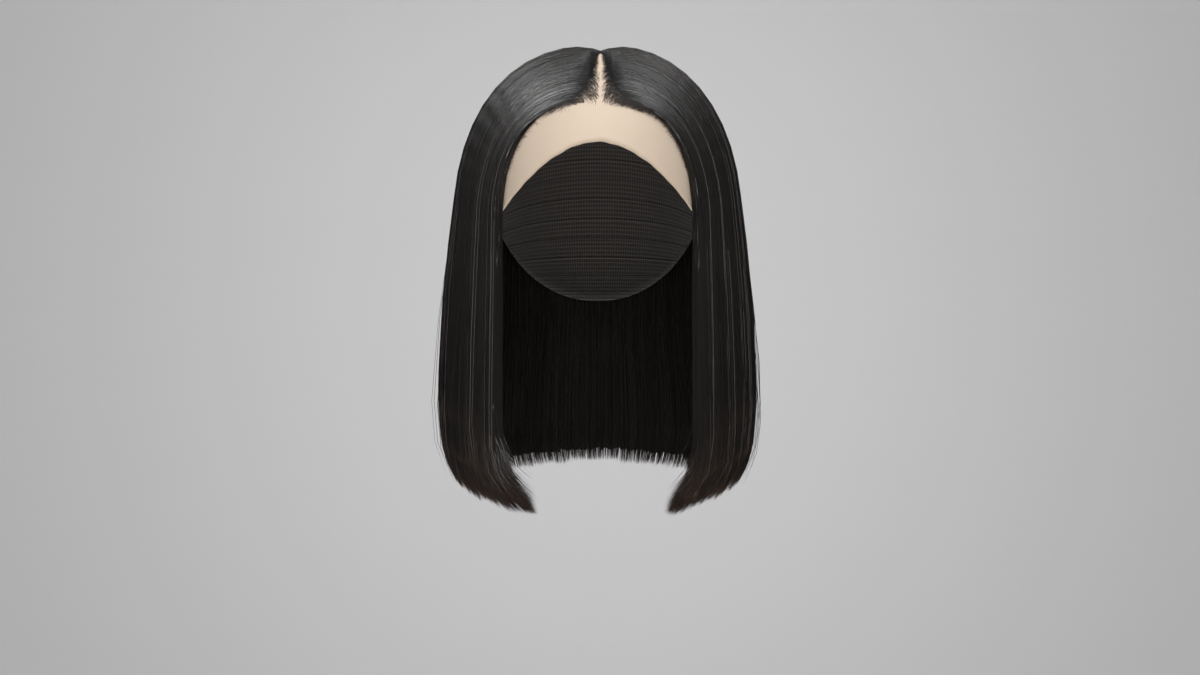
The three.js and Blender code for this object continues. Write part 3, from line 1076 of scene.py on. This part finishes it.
# Beside the parting, three to a knot
part_rng = np.random.default_rng(41)
part_knots = 560
knot_hairs = 3
part_degrees = (38, 98)  # from the hairline to behind the crown
part_from = 0.0004  # out from the middle of the parting
knot_spread = 0.00006
part_wide = 0.0085  # how far out from the parting they are rooted at the hairline
part_narrow = 0.0026  # and at the crown
part_count = part_knots * knot_hairs
part_angle = np.radians(part_rng.uniform(*part_degrees, part_knots))
part_reach = np.where(part_angle < np.pi / 2, head_front, head_back)
part_furthest = mix(part_wide, part_narrow, ease(part_angle / np.pi * 2))
part_out = part_furthest * part_rng.random(part_knots) ** 0.85
knotted_hairs(
    "parting_hairs",
    part_from + np.repeat(part_out, knot_hairs) + part_rng.normal(0, knot_spread, part_count),
    np.repeat(-part_reach * np.cos(part_angle), knot_hairs),
    heading=np.repeat(mix(38, 72, part_out / 0.007), knot_hairs) + part_rng.normal(0, 7, part_count),
    length=part_rng.uniform(0.0035, 0.0075, part_count),
    radius=parting_radius,
    knot=knot_hairs,
    seed=42,
)


# Studio
# A pale floor that curves up into a wall all round, with a glow on the wall behind. Soft lights
# overhead, in front, behind and below fill the shadows, and three above the front show only in the
# hair's gloss.

floor_level = -1.5
floor_middle = 1.2
floor_reach = 2.5
wall_reach = 4.2
wall_top = 3.2
curve_steps = 12

bowl = bmesh.new()
corner = wall_reach - floor_reach
profile = [(0.0, floor_level), (floor_middle, floor_level), (floor_reach, floor_level)]
for step in range(1, curve_steps + 1):
    angle = np.pi / 2 * step / curve_steps
    profile.append((floor_reach + corner * np.sin(angle), floor_level + corner * (1 - np.cos(angle))))
profile.append((wall_reach, wall_top))
verts = [bowl.verts.new((x, 0, z)) for x, z in profile]
edges = [bowl.edges.new(pair) for pair in zip(verts, verts[1:])]
bmesh.ops.spin(
    bowl, geom=verts + edges, axis=(0, 0, 1), cent=(0, 0, 0), steps=96, angle=2 * np.pi, use_merge=True
)
bmesh.ops.remove_doubles(bowl, verts=bowl.verts[:], dist=1e-5)
bmesh.ops.recalc_face_normals(bowl, faces=bowl.faces[:])
for face in bowl.faces:
    face.smooth = True
backdrop_mesh = bpy.data.meshes.new("backdrop")
bowl.to_mesh(backdrop_mesh)
bowl.free()
backdrop = add_object("backdrop", backdrop_mesh)

# Painted cyclorama: an even, matt pale grey.
paint, tree = start_material("Matt pale grey paint")
surface = add_node(
    tree,
    "ShaderNodeBsdfPrincipled",
    {"Base Color": linear("#cfcfd0"), "Roughness": 0.95, "Specular IOR Level": 0.1},
)
add_node(tree, "ShaderNodeOutputMaterial", {"Surface": surface.outputs[0]})
backdrop_mesh.materials.append(paint)


def soft_light(name, place, aim, size, power, fills=True, mirrored=True):
    """An area light that no camera sees. It may fill the shadows, be mirrored in the hair, or both."""
    lamp = bpy.data.lights.new(name, "AREA")
    lamp.shape = "RECTANGLE"
    lamp.size, lamp.size_y = size
    lamp.energy = power
    light = add_object(name, lamp)
    light.location = place
    toward = Vector(aim) - light.location
    light.rotation_euler = toward.to_track_quat("-Z", "Y").to_euler()
    light.visible_camera = False
    light.visible_diffuse = fills
    light.visible_glossy = mirrored


soft_light("overhead", (0, -0.75, 1.2), (0, 0, -0.08), (1.4, 0.8), 23, mirrored=False)
soft_light("front_left", (1.5, -1.5, 1.1), (0, 0, -0.15), (0.9, 0.9), 4, mirrored=False)
soft_light("front_right", (-1.5, -1.5, 1.1), (0, 0, -0.15), (0.9, 0.9), 4, mirrored=False)
soft_light("back", (0, 1.6, 1.2), (0, 0, -0.1), (1.2, 0.6), 12, mirrored=False)
soft_light("hair_light_left", (0.95, -0.75, 1.3), (0, 0, -0.05), (1.3, 0.7), 30, fills=False)
soft_light("hair_light_right", (-0.95, -0.75, 1.3), (0, 0, -0.05), (1.3, 0.7), 39, fills=False)
soft_light("crown_light", (0, -0.75, 1.3), (0, 0, -0.05), (0.7, 0.6), 8, fills=False)
soft_light("bounce", (0, -0.4, -0.65), (0, 0.08, -0.2), (0.3, 0.3), 3, mirrored=False)
soft_light("fill", (0, -2.6, 0.2), (0, 0, -0.2), (2.0, 1.0), 12, mirrored=False)
soft_light("backdrop_glow", (0, 2.9, 0.1), (0, 4.2, 0.1), (0.8, 0.4), 7, mirrored=False)

# The walls and the air above are left out of the hair's reflections, as black flags do in a studio.
backdrop.visible_glossy = False
world = bpy.data.worlds.new("Studio")
world.use_nodes = True
world.node_tree.nodes["Background"].inputs["Color"].default_value = (1, 0.99, 0.98, 1)
world.node_tree.nodes["Background"].inputs["Strength"].default_value = 0.625
world.cycles_visibility.glossy = False
bpy.context.scene.world = world
bpy.context.scene.view_settings.view_transform = "Standard"

# The camera stands level, 2.2 m in front, as high as the middle of the hair.
camera = bpy.data.cameras.new("camera")
camera.lens = 94.3
camera.sensor_width = 36
viewer = add_object("camera", camera)
viewer.location = (0.00175, -2.2, -0.1985)
viewer.rotation_euler = (np.pi / 2, 0, 0)
bpy.context.scene.camera = viewer
